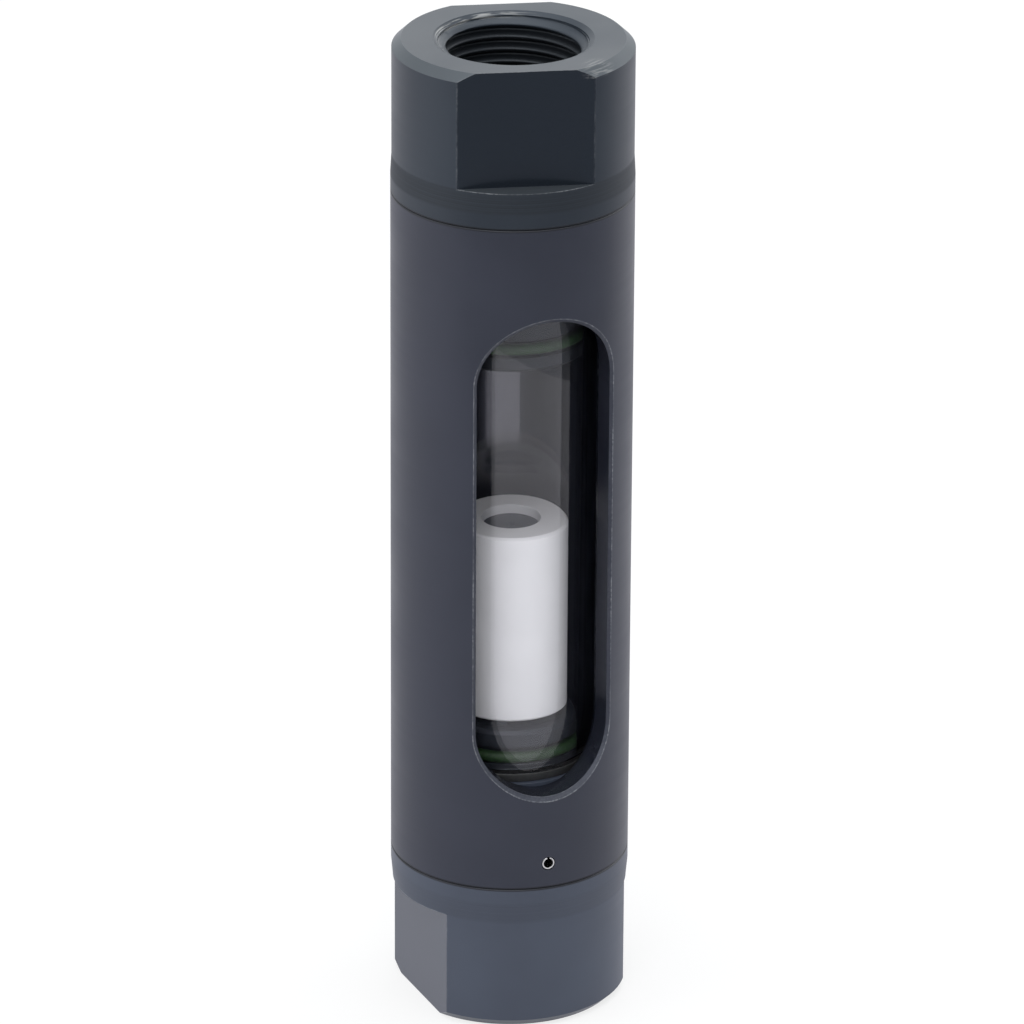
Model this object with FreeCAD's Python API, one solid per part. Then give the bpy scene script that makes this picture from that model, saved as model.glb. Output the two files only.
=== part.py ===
import FreeCAD, Part
import math
import os

# Rotameter: a variable-area flow meter in PVC with a tapered sight tube and a free float.
# Units are millimetres. +Z is the flow direction, and the origin is the centre of the lower end face.
# The window and the locking pin face -Y. "Joint" means the plane where a connector meets the housing.

V = FreeCAD.Vector
AXIS = V(0, 0, 1)

# --- Sight tube ---
tube_od = 24.0
tube_wall = 2.35  # at the bottom of the tube
tube_taper = 0.9  # the bore is this much wider at the top than at the bottom
tube_edge_break = 0.25
gasket_thickness = 1.2
gasket_gap = 0.1

# --- Housing ---
housing_length = 100.0
tube_gap = 0.8  # between the sight tube and the housing's bore
thread_shoulder = 1.2  # from the housing's bore out to its thread
housing_wall = 3.0  # outside the thread
edge_break = 0.15  # small chamfer along both joints
window_width = 19.5
window_gap = 2.0  # from the bottom of each thread to the end of the window
window_break = 0.6  # chamfer round the window

# --- Connector heads ---
head_length = 22.0
head_relief = 0.25  # the head is turned this much below the full band, on the radius
band_length = 2.4
flare_length = 2.7
end_chamfer = 1.2
flat_depth = 2.85  # milled into the head on each side
flat_margin = 0.2  # from the flare to the shelf of each flat
top_flats_turn = -11.9  # degrees from -Y, seen from above: where each connector tightens
bottom_flats_turn = -85.0

# --- Screwed joint between connector and housing ---
thread_length = 11.0
thread_gap = 0.05
thread_chamfer = 0.5
thread_spare = 1.0  # the housing's thread runs this much deeper than the shank
nose_length = 3.5  # past the thread, up to the face that carries the tube's gasket
nose_gap = 0.15

# --- Ports: G 1/2 parallel pipe thread ---
port_major_d = 20.955
port_thread_depth = 1.162
mouth_chamfer = 0.72
port_lead = 0.8  # plain length at the major diameter, where the thread starts
port_depth = 15.5
drill_angle = 118.0

# --- Spigots and sealing rings ---
lower_ring_height = 3.3  # from the nose to the middle of the ring
lower_spigot_tip = 3.7  # from the middle of the ring to the end of the spigot
upper_ring_height = 5.6
upper_spigot_tip = 3.5
spigot_gap = 0.15
spigot_lead = 0.5
cord_d = 2.0
cord_squeeze = 0.15
groove_spare = 0.6  # the groove is this much wider than the cord
ring_gap = 0.02
ring_bulge = 0.25  # the cord's free sides bow out by twice this at the middle

# --- Flow passage and float stops ---
spigot_wall = 1.75  # left under the ring's groove
stop_wall = 1.3
stop_depth = 2.0
stop_rise = 0.9  # the arms stand this far out of the spigot
stop_arms = 3
stop_arm_width = 1.6
stop_hub_d = 4.0
press_gap = 0.02

# --- Float ---
float_gap = 1.55  # to the narrow end of the tube's bore
float_length = 28.2
float_chamfer = 0.35
float_wall = 3.9  # round the bore for the magnet and the plug
core_recess = 1.3
plug_thickness = 3.0
magnet_length = 12.0

# --- Locking pin: slotted spring pin ---
pin_d = 2.0
pin_wall = 0.3
pin_slot = 0.45
pin_length = 8.0
pin_height = 3.75  # above the lower joint
pin_recess = 0.08
pin_chamfer = 0.12
pin_hole_spare = 0.4

# --- Derived sizes ---
tube_r = tube_od / 2
bore_bottom_r = tube_r - tube_wall
bore_top_r = bore_bottom_r + tube_taper / 2
housing_bore_r = tube_r + tube_gap
thread_r = housing_bore_r + thread_shoulder
body_r = thread_r + housing_wall
head_r = body_r - head_relief
nose_r = housing_bore_r - nose_gap
flat_r = head_r - flat_depth
port_major_r = port_major_d / 2
port_minor_r = port_major_r - port_thread_depth
float_r = bore_bottom_r - float_gap
core_r = float_r - float_wall
pin_r = pin_d / 2
lower_joint_z = head_length
upper_joint_z = lower_joint_z + housing_length
total_height = upper_joint_z + head_length
nose_end = thread_length + nose_length
counter_length = thread_length + thread_spare
lower_nose_z = lower_joint_z + nose_end
upper_nose_z = upper_joint_z - nose_end
lower_spigot_length = lower_ring_height + lower_spigot_tip
upper_spigot_length = upper_ring_height + upper_spigot_tip
tube_bottom_z = lower_nose_z + gasket_thickness
tube_top_z = upper_nose_z - gasket_thickness
lower_spigot_z = lower_nose_z + lower_spigot_length
upper_spigot_z = upper_nose_z - upper_spigot_length
lower_ring_z = lower_nose_z + lower_ring_height
upper_ring_z = upper_nose_z - upper_ring_height
float_rest_z = lower_spigot_z + stop_rise
pin_z = lower_joint_z + pin_height
far = 2 * (body_r + total_height)  # reaches past the whole meter


def turned(profile):
    """Revolve a closed outline of (radius, height) points about Z."""
    points = [V(radius, 0, height) for radius, height in profile]
    face = Part.Face(Part.makePolygon(points + points[:1]))
    return face.revolve(V(0, 0, 0), AXIS, 360)


def tube_bore_r(height):
    """Radius of the sight tube's bore at a height above the base."""
    share = (height - tube_bottom_z) / (tube_top_z - tube_bottom_z)
    return bore_bottom_r + share * (bore_top_r - bore_bottom_r)


def spigot_r(nose_z, end_z):
    """Largest spigot that slides into the tube between two heights."""
    return min(tube_bore_r(nose_z), tube_bore_r(end_z)) - spigot_gap


def groove_r(ring_z):
    """Groove floor that squeezes the cord against the tube's bore."""
    return tube_bore_r(ring_z) - cord_d * (1 - cord_squeeze)


passage_r = min(groove_r(lower_ring_z), groove_r(upper_ring_z)) - spigot_wall
seat_r = passage_r + stop_wall


def flipped(shape):
    """Turn a shape over, from the lower end of the meter to the upper end."""
    result = shape.copy()
    result.rotate(V(0, 0, 0), V(0, 1, 0), 180)
    result.translate(V(0, 0, total_height))
    return result


def connector_blank(spigot_radius, groove_radius, spigot_length, ring_height):
    """One turned connector with its port down at height 0, before flats and pin hole."""
    joint = head_length
    nose = joint + nose_end
    spigot_end = nose + spigot_length
    ring = nose + ring_height
    half_groove = (cord_d + groove_spare) / 2
    drill_depth = (port_minor_r - passage_r) / math.tan(math.radians(drill_angle / 2))
    head = [
        (head_r - end_chamfer, 0),
        (head_r, end_chamfer),
        (head_r, joint - band_length - flare_length),
        (body_r, joint - band_length),
        (body_r, joint - edge_break),
        (body_r - edge_break, joint),
    ]
    shank = [
        (thread_r, joint),
        (thread_r, joint + thread_length - thread_chamfer),
        (thread_r - thread_chamfer, joint + thread_length),
        (nose_r, joint + thread_length),
        (nose_r, nose),
    ]
    spigot = [
        (spigot_radius, nose),
        (spigot_radius, ring - half_groove),
        (groove_radius, ring - half_groove),
        (groove_radius, ring + half_groove),
        (spigot_radius, ring + half_groove),
        (spigot_radius, spigot_end - spigot_lead),
        (spigot_radius - spigot_lead, spigot_end),
        (seat_r, spigot_end),
        (seat_r, spigot_end - stop_depth),
    ]
    port = [
        (passage_r, spigot_end - stop_depth),
        (passage_r, port_depth + drill_depth),
        (port_minor_r, port_depth),
        (port_minor_r, mouth_chamfer + port_lead),
        (port_major_r, mouth_chamfer + port_lead),
        (port_major_r, mouth_chamfer),
        (port_major_r + mouth_chamfer, 0),
    ]
    return turned(head + shank + spigot + port)


def with_flats(blank):
    """Mill the two wrench flats, whose normals lie along Y."""
    length = head_length - band_length - flare_length - flat_margin
    result = blank
    for start in (flat_r, -flat_r - far):
        result = result.cut(Part.makeBox(2 * far, far, 2 * length, V(-far, start, -length)))
    return result


def top_connector():
    radius = spigot_r(upper_nose_z, upper_spigot_z)
    blank = connector_blank(radius, groove_r(upper_ring_z), upper_spigot_length, upper_ring_height)
    shape = flipped(with_flats(blank))
    shape.rotate(V(0, 0, 0), AXIS, top_flats_turn)
    return shape


def bottom_connector():
    radius = spigot_r(lower_nose_z, lower_spigot_z)
    blank = connector_blank(radius, groove_r(lower_ring_z), lower_spigot_length, lower_ring_height)
    shape = with_flats(blank)
    shape.rotate(V(0, 0, 0), AXIS, bottom_flats_turn)
    return shape.cut(pin_hole())


def pin_hole():
    """Drilled from the -Y side, through the housing wall and blind into the connector."""
    depth = pin_recess + pin_length + pin_hole_spare
    return Part.makeCylinder(pin_r + press_gap, 2 * depth, V(0, -body_r - depth, pin_z), V(0, 1, 0))


def window_cutter():
    """Round-ended slot through the front wall only."""
    radius = window_width / 2
    low = lower_joint_z + counter_length + window_gap + radius
    high = upper_joint_z - counter_length - window_gap - radius
    slot = Part.makeBox(window_width, far, high - low, V(-radius, -far, low))
    for end in (low, high):
        slot = slot.fuse(Part.makeCylinder(radius, far, V(0, -far, end), V(0, 1, 0)))
    return slot.removeSplitter()


def window_edges(shape):
    """The window's rim on the housing's outer face."""
    rim = []
    low = lower_joint_z + edge_break
    high = upper_joint_z - edge_break
    for edge in shape.Edges:
        box = edge.BoundBox
        middle = edge.valueAt((edge.FirstParameter + edge.LastParameter) / 2)
        on_outside = abs(math.hypot(middle.x, middle.y) - body_r) < 0.001
        if on_outside and box.ZMin > low and box.ZMax < high and box.XLength <= window_width + 0.001:
            rim.append(edge)
    return rim


def housing():
    counter_r = thread_r + thread_gap
    tube = turned([
        (counter_r, lower_joint_z),
        (body_r - edge_break, lower_joint_z),
        (body_r, lower_joint_z + edge_break),
        (body_r, upper_joint_z - edge_break),
        (body_r - edge_break, upper_joint_z),
        (counter_r, upper_joint_z),
        (counter_r, upper_joint_z - counter_length),
        (housing_bore_r, upper_joint_z - counter_length),
        (housing_bore_r, lower_joint_z + counter_length),
        (counter_r, lower_joint_z + counter_length),
    ])
    shape = tube.cut(window_cutter())
    shape = shape.makeChamfer(window_break, window_edges(shape))
    return shape.cut(pin_hole())


def sight_tube():
    return turned([
        (bore_bottom_r, tube_bottom_z),
        (tube_r - tube_edge_break, tube_bottom_z),
        (tube_r, tube_bottom_z + tube_edge_break),
        (tube_r, tube_top_z - tube_edge_break),
        (tube_r - tube_edge_break, tube_top_z),
        (bore_top_r, tube_top_z),
    ])


def tube_gasket(low_z, spigot_radius):
    """Flat ring between a connector's nose and the end of the tube."""
    inner = spigot_radius + gasket_gap
    ring = Part.makeCylinder(tube_r, gasket_thickness, V(0, 0, low_z))
    return ring.cut(Part.makeCylinder(inner, gasket_thickness, V(0, 0, low_z)))


def seal_ring(ring_z):
    """Squeezed O-ring: flat on the groove floor and on the bore, with the cord's own area."""
    inner = groove_r(ring_z) + ring_gap
    outer = tube_bore_r(ring_z) - ring_gap
    middle = (inner + outer) / 2
    area = math.pi * cord_d ** 2 / 4
    half = area / (outer - inner) / 2
    return turned([
        (inner, ring_z - half + ring_bulge),
        (middle, ring_z - half - ring_bulge),
        (outer, ring_z - half + ring_bulge),
        (outer, ring_z + half - ring_bulge),
        (middle, ring_z + half + ring_bulge),
        (inner, ring_z + half - ring_bulge),
    ])


def float_stop(spigot_end):
    """Ring pressed into the spigot, with arms from a hub that stand above it."""
    floor = spigot_end - stop_depth
    ring_r = seat_r - press_gap
    shape = Part.makeCylinder(ring_r, stop_depth, V(0, 0, floor))
    shape = shape.cut(Part.makeCylinder(passage_r, stop_depth, V(0, 0, floor)))
    height = stop_depth + stop_rise
    reach = passage_r + stop_wall / 2
    shape = shape.fuse(Part.makeCylinder(stop_hub_d / 2, height, V(0, 0, floor)))
    for index in range(stop_arms):
        arm = Part.makeBox(reach, stop_arm_width, height, V(0, -stop_arm_width / 2, floor))
        arm.rotate(V(0, 0, 0), AXIS, 360 / stop_arms * index)
        shape = shape.fuse(arm)
    return shape.removeSplitter()


def upper_float_stop():
    return flipped(float_stop(total_height - upper_spigot_z))


def float_body():
    top = float_rest_z + float_length
    pocket = top - core_recess - plug_thickness - magnet_length
    return turned([
        (0, float_rest_z),
        (float_r - float_chamfer, float_rest_z),
        (float_r, float_rest_z + float_chamfer),
        (float_r, top - float_chamfer),
        (float_r - float_chamfer, top),
        (core_r, top),
        (core_r, pocket),
        (0, pocket),
    ])


def core_piece(length, low_z):
    """Round piece that fills the float's bore."""
    return Part.makeCylinder(core_r - press_gap, length, V(0, 0, low_z))


def spring_pin():
    """Slotted tube along Y, with its slot up."""
    start = -body_r + pin_recess
    pin = Part.makeCylinder(pin_r, pin_length, V(0, start, pin_z), V(0, 1, 0))
    rims = [edge for edge in pin.Edges if isinstance(edge.Curve, Part.Circle)]
    pin = pin.makeChamfer(pin_chamfer, rims)
    pin = pin.cut(Part.makeCylinder(pin_r - pin_wall, pin_length, V(0, start, pin_z), V(0, 1, 0)))
    return pin.cut(Part.makeBox(pin_slot, pin_length, pin_d, V(-pin_slot / 2, start, pin_z)))


def all_pieces():
    plug_z = float_rest_z + float_length - core_recess - plug_thickness
    return {
        "housing": housing(),
        "top_connector": top_connector(),
        "bottom_connector": bottom_connector(),
        "sight_tube": sight_tube(),
        "upper_tube_gasket": tube_gasket(tube_top_z, spigot_r(upper_nose_z, upper_spigot_z)),
        "lower_tube_gasket": tube_gasket(lower_nose_z, spigot_r(lower_nose_z, lower_spigot_z)),
        "upper_o_ring": seal_ring(upper_ring_z),
        "lower_o_ring": seal_ring(lower_ring_z),
        "upper_float_stop": upper_float_stop(),
        "lower_float_stop": float_stop(lower_spigot_z),
        "float_body": float_body(),
        "float_plug": core_piece(plug_thickness, plug_z),
        "float_magnet": core_piece(magnet_length, plug_z - magnet_length),
        "spring_pin": spring_pin(),
    }


os.makedirs("parts", exist_ok=True)
for node, shape in all_pieces().items():
    shape.exportStep("parts/" + node + ".step")
    print(node, shape.isValid(), len(shape.Solids), round(shape.Volume, 1))
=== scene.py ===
import math

import bmesh
import bpy
import numpy as np
from mathutils import Matrix, Vector


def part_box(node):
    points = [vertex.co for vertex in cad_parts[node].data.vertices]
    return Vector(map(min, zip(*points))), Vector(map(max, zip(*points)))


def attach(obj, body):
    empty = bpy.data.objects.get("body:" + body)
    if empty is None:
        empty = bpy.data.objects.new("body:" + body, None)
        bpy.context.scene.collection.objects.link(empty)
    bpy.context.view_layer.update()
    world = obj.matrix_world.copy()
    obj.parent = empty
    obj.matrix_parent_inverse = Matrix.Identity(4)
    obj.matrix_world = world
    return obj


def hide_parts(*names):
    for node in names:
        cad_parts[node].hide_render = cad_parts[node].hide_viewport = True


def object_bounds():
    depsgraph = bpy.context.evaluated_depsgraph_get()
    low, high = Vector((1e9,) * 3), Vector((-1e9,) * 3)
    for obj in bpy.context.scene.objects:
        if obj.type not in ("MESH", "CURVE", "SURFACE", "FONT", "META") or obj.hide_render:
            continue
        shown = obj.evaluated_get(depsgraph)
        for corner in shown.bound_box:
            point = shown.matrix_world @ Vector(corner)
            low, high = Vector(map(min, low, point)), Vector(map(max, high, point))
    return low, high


# Rotameter with a sight tube: the visible pieces, their materials, the studio and the camera.
# Sizes of the object are in millimetres, and MM turns them into metres. The studio is in metres.
# +Z is up and -Y faces the window.

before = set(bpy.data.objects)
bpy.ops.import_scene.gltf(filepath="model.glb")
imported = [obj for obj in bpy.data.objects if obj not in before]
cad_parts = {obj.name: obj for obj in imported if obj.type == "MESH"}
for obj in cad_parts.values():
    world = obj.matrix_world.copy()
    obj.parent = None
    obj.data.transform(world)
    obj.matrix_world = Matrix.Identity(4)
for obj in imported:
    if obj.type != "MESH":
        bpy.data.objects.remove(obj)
cad_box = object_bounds()

MM = 0.001
TURN = 2 * math.pi

# --- Sizes repeated from the CAD source (mm) ---
TUBE_WALL = 2.35  # at the bottom of the tube
TUBE_TAPER = 0.9  # the bore is this much wider at the top than at the bottom
TUBE_EDGE_BREAK = 0.25
GASKET_GAP = 0.1
HOUSING_BORE_R = 12.8
THREAD_R = 14.0
THREAD_GAP = 0.05
EDGE_BREAK = 0.15  # small chamfer along both joints
COUNTER_LENGTH = 12.0
WINDOW_WIDTH = 19.5
WINDOW_GAP = 2.0  # from the bottom of each thread to the end of the window
WINDOW_BREAK = 0.6  # chamfer round the window
BOTTOM_HEAD_R = 16.75
END_FACE_R = 15.55
END_CHAMFER = 1.2
BAND_LENGTH = 2.4
FLARE_LENGTH = 2.7
FLAT_R = 13.9
FLAT_MARGIN = 0.2  # from the flare to the shelf of each flat
TOP_FLATS_TURN = math.radians(-11.9)
BOTTOM_FLATS_TURN = math.radians(-85.0)
SHANK_LENGTH = 11.0
NOSE_END = 14.5
NOSE_R = 12.65
PORT_MAJOR_R = 10.4775
PORT_MINOR_R = 9.3155
PORT_DEPTH = 15.5
MOUTH_R = 11.1975
DRILL_ANGLE = math.radians(118)
SPIGOT_GAP = 0.15
SPIGOT_LEAD = 0.5
SPIGOT_WALL = 1.75  # left under the ring's groove
CORD_D = 2.0
CORD_SQUEEZE = 0.15
GROOVE_SPARE = 0.6  # the groove is this much wider than the cord
RING_GAP = 0.02
STOP_WALL = 1.3
STOP_DEPTH = 2.0
PRESS_GAP = 0.02
FLOAT_CHAMFER = 0.35
PIN_WALL = 0.3
PIN_SLOT = 0.45
PIN_CHAMFER = 0.12
PIN_HOLE_SPARE = 0.4

# --- Sizes that only the scene has (mm) ---
TOP_HEAD_R = 16.84  # the photo's upper head is a little wider than its lower one
THREAD_PITCH = 1.814
THREAD_START = 0.4775  # share of a turn
MOUTH_DEPTH = 0.46
LEAD_DEPTH = 0.7  # the thread starts below this
RING_HEIGHT = 1.6
RING_SAG = {"lower": 0.45, "upper": 0.2}  # the rings lie low in their grooves
RING_POWER = 2.3  # 2 is an ellipse, and more is squarer
CENTRE_MARK_R = 0.6  # dimple in the middle of the float's plug

# --- Radii that ease the turned edges (mm) ---
HOUSING_EASE = 0.05
CONNECTOR_EASE = 0.06
GASKET_EASE = 0.15
FLOAT_EASE = 0.1
PLUG_EASE = 0.15
PIN_EASE = 0.04

# --- Mesh quality ---
STEPS = 256  # columns round a turned piece
SHELL_STEPS = 384  # round the housing and the tube
SLOT_STEPS = 64  # round each end of the window
HOLE_STEPS = 96
PIN_STEPS = 72
RING_STEPS = 40
EASE_STEPS = 3
TUBE_EASE_STEPS = 4
MOST_EASE = 0.4  # share of an edge that one eased corner may take
NEARLY_STRAIGHT = math.radians(177)
SHARP_ANGLE = math.radians(32)
CHAMFER_REACH = 3  # the window's chamfer cutter goes this many times past the face
TINY = 1e-6  # mm
MERGE_DISTANCE = 1e-7  # metres
SLIVER = 1e-8  # metres

# --- Sizes read from the frame (mm) ---


def box_mm(node):
    low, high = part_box(node)
    return low / MM, high / MM


def middle_height(node):
    low, high = box_mm(node)
    return (low.z + high.z) / 2


housing_low, housing_high = box_mm("housing")
tube_low, tube_high = box_mm("sight_tube")
float_low, float_high = box_mm("float_body")
plug_low, plug_high = box_mm("float_plug")
magnet_low = box_mm("float_magnet")[0]
pin_low, pin_high = box_mm("spring_pin")
lower_spigot_end = box_mm("bottom_connector")[1].z
upper_spigot_end = box_mm("top_connector")[0].z
lower_ring = middle_height("lower_o_ring")
upper_ring = middle_height("upper_o_ring")
pin_z = middle_height("spring_pin")
lower_joint = housing_low.z
upper_joint = housing_high.z
total_height = cad_box[1].z / MM
body_r = housing_high.x
tube_r = tube_high.x
float_r = float_high.x
plug_r = plug_high.x
pin_r = pin_high.x

# --- Derived sizes (mm) ---


def tube_bore_r(height):
    """Radius of the sight tube's bore at a height."""
    share = (height - tube_low.z) / (tube_high.z - tube_low.z)
    return tube_r - TUBE_WALL + share * TUBE_TAPER / 2


def groove_r(ring_z):
    return tube_bore_r(ring_z) - CORD_D * (1 - CORD_SQUEEZE)


core_r = plug_r + PRESS_GAP
window_low = lower_joint + COUNTER_LENGTH + WINDOW_GAP
window_high = upper_joint - COUNTER_LENGTH - WINDOW_GAP
head_end = lower_joint - BAND_LENGTH - FLARE_LENGTH  # from the port's face to the flare
flat_length = head_end - FLAT_MARGIN
lower_nose = lower_joint + NOSE_END
upper_nose = upper_joint - NOSE_END
passage_r = min(groove_r(lower_ring), groove_r(upper_ring)) - SPIGOT_WALL
seat_r = passage_r + STOP_WALL
lower_spigot_r = min(tube_bore_r(lower_nose), tube_bore_r(lower_spigot_end)) - SPIGOT_GAP
upper_spigot_r = min(tube_bore_r(upper_nose), tube_bore_r(upper_spigot_end)) - SPIGOT_GAP

# --- Mesh helpers ---


def eased(profile, radius, steps=EASE_STEPS, closed=True):
    """Round the corners of an outline of (radius, height) points."""
    result = []
    count = len(profile)
    for index, point in enumerate(profile):
        corner = Vector(point)
        before = Vector(profile[index - 1]) - corner
        after = Vector(profile[(index + 1) % count]) - corner
        on_axis = point[0] < TINY
        at_end = not closed and index in (0, count - 1)
        if on_axis or at_end or before.length < TINY or after.length < TINY:
            result.append(tuple(point))
            continue
        bend = before.angle(after)
        if bend > NEARLY_STRAIGHT:
            result.append(tuple(point))
            continue
        longest = MOST_EASE * min(before.length, after.length)
        reach = min(radius / math.tan(bend / 2), longest)
        start = corner + before.normalized() * reach
        end = corner + after.normalized() * reach
        for step in range(steps + 1):
            share = step / steps
            blend = (1 - share) ** 2 * start + 2 * share * (1 - share) * corner + share ** 2 * end
            result.append((blend.x, blend.y))
    return result


def round_angles(steps):
    """Angles once round the axis, with cosines and sines whose ends meet exactly."""
    angles = np.linspace(0, TURN, steps + 1)
    cosines, sines = np.cos(angles), np.sin(angles)
    cosines[-1], sines[-1] = cosines[0], sines[0]
    return angles, cosines, sines


def mesh_of(name, points, faces):
    """Mesh of points in metres, with its doubles merged and its faces turned outward."""
    mesh = bpy.data.meshes.new(name)
    mesh.from_pydata(points, [], faces)
    work = bmesh.new()
    work.from_mesh(mesh)
    bmesh.ops.remove_doubles(work, verts=work.verts, dist=MERGE_DISTANCE)
    bmesh.ops.dissolve_degenerate(work, dist=SLIVER, edges=work.edges)
    bmesh.ops.recalc_face_normals(work, faces=work.faces)
    work.to_mesh(mesh)
    work.free()
    return mesh


def grid_mesh(name, rows):
    """Mesh of a grid of points (mm), rows round the axis, joined into a closed ring shape."""
    points = np.asarray(rows, float) * MM
    row_count, column_count = points.shape[:2]
    index = np.arange(row_count * column_count).reshape(row_count, column_count)
    following = np.roll(index, -1, axis=0)
    faces = np.stack(
        [index[:, :-1], index[:, 1:], following[:, 1:], following[:, :-1]], axis=-1
    ).reshape(-1, 4)
    return mesh_of(name, points.reshape(-1, 3).tolist(), faces.tolist())


def band_faces(count):
    """Faces between two closed outlines of the same count, the second listed after the first."""
    following = [(index + 1) % count for index in range(count)]
    return [[index, after, after + count, index + count] for index, after in enumerate(following)]


def turned_rows(profile, steps):
    """Rows of points for an outline revolved about Z, one row for each outline point."""
    _, cosines, sines = round_angles(steps)
    rows = []
    for radius, height in profile:
        heights = np.full(steps + 1, height)
        rows.append(np.stack([radius * cosines, radius * sines, heights], axis=-1))
    return rows


def new_piece(name, mesh, material, body, node):
    """Put a finished mesh into the scene in place of its CAD node."""
    piece = bpy.data.objects.new(name, mesh)
    bpy.context.scene.collection.objects.link(piece)
    mesh.materials.clear()
    mesh.materials.append(material)
    mesh.shade_smooth()
    mesh.set_sharp_from_angle(angle=SHARP_ANGLE)
    weighted = piece.modifiers.new("Normals", "WEIGHTED_NORMAL")
    weighted.mode = "FACE_AREA_WITH_ANGLE"
    weighted.keep_sharp = True
    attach(piece, body)
    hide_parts(node)


def turned_piece(name, profile, material, body, node, steps=STEPS):
    mesh = grid_mesh(name, turned_rows(profile, steps))
    new_piece(name, mesh, material, body, node)


def cut(mesh, cutters):
    """The mesh with each cutter mesh taken away."""
    target = bpy.data.objects.new("cut_target", mesh)
    bpy.context.scene.collection.objects.link(target)
    tools = []
    for cutter in cutters:
        tool = bpy.data.objects.new("cut_tool", cutter)
        bpy.context.scene.collection.objects.link(tool)
        boolean = target.modifiers.new("Cut", "BOOLEAN")
        boolean.operation = "DIFFERENCE"
        boolean.solver = "EXACT"
        boolean.object = tool
        tools.append(tool)
    graph = bpy.context.evaluated_depsgraph_get()
    result = bpy.data.meshes.new_from_object(target.evaluated_get(graph))
    result.name = mesh.name + "_cut"
    for thing in tools + [target]:
        data = thing.data
        bpy.data.objects.remove(thing)
        bpy.data.meshes.remove(data)
    return result


def prism_mesh(name, outline, low, high, axes):
    """Closed prism of an outline in the plane of two axes, between two values of the third."""
    first, second, along = axes
    points = []
    for value in (low, high):
        for a, b in outline:
            point = [0.0, 0.0, 0.0]
            point[first], point[second], point[along] = a * MM, b * MM, value * MM
            points.append(point)
    count = len(outline)
    ends = [list(range(count)), list(range(count, 2 * count))]
    return mesh_of(name, points, ends + band_faces(count))


def obround(width, low, high):
    """Outline of a round-ended slot, with the outward direction at each point."""
    radius = width / 2
    points = []
    for centre, start in ((high - radius, 0.0), (low + radius, math.pi)):
        for step in range(SLOT_STEPS + 1):
            angle = start + math.pi * step / SLOT_STEPS
            way = (math.cos(angle), math.sin(angle))
            points.append((radius * way[0], centre + radius * way[1], way[0], way[1]))
    return points


def window_chamfer(outline):
    """Closed cutter whose flank runs from the window's wall out through the housing's face."""
    inner, outer = [], []
    for x, z, way_x, way_z in outline:
        depth = -math.sqrt(body_r ** 2 - x ** 2)
        root = Vector((x, depth + WINDOW_BREAK, z))
        turn = math.asin(x / body_r) + WINDOW_BREAK * way_x / body_r
        rim_z = z + WINDOW_BREAK * way_z
        rim = Vector((body_r * math.sin(turn), -body_r * math.cos(turn), rim_z))
        inner.append(root)
        outer.append(rim + CHAMFER_REACH * (rim - root))
    count = len(outline)
    centre_z = (outline[0][1] + outline[-1][1]) / 2
    hubs = [Vector((0, -HOUSING_BORE_R, centre_z)), Vector((0, -2 * body_r, centre_z))]
    faces = []
    for face in band_faces(count):
        index, after = face[:2]
        faces += [face, [index, after, 2 * count], [index + count, after + count, 2 * count + 1]]
    return mesh_of("window_chamfer", [point * MM for point in inner + outer + hubs], faces)


def pin_cutter(low, high):
    """Round cutter for the pin's hole, along Y between two depths."""
    radius = pin_r + PRESS_GAP
    outline = []
    for step in range(HOLE_STEPS):
        angle = TURN * step / HOLE_STEPS
        outline.append((radius * math.cos(angle), pin_z + radius * math.sin(angle)))
    return prism_mesh("pin_cutter", outline, low, high, (0, 2, 1))


# --- Node helpers ---


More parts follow.
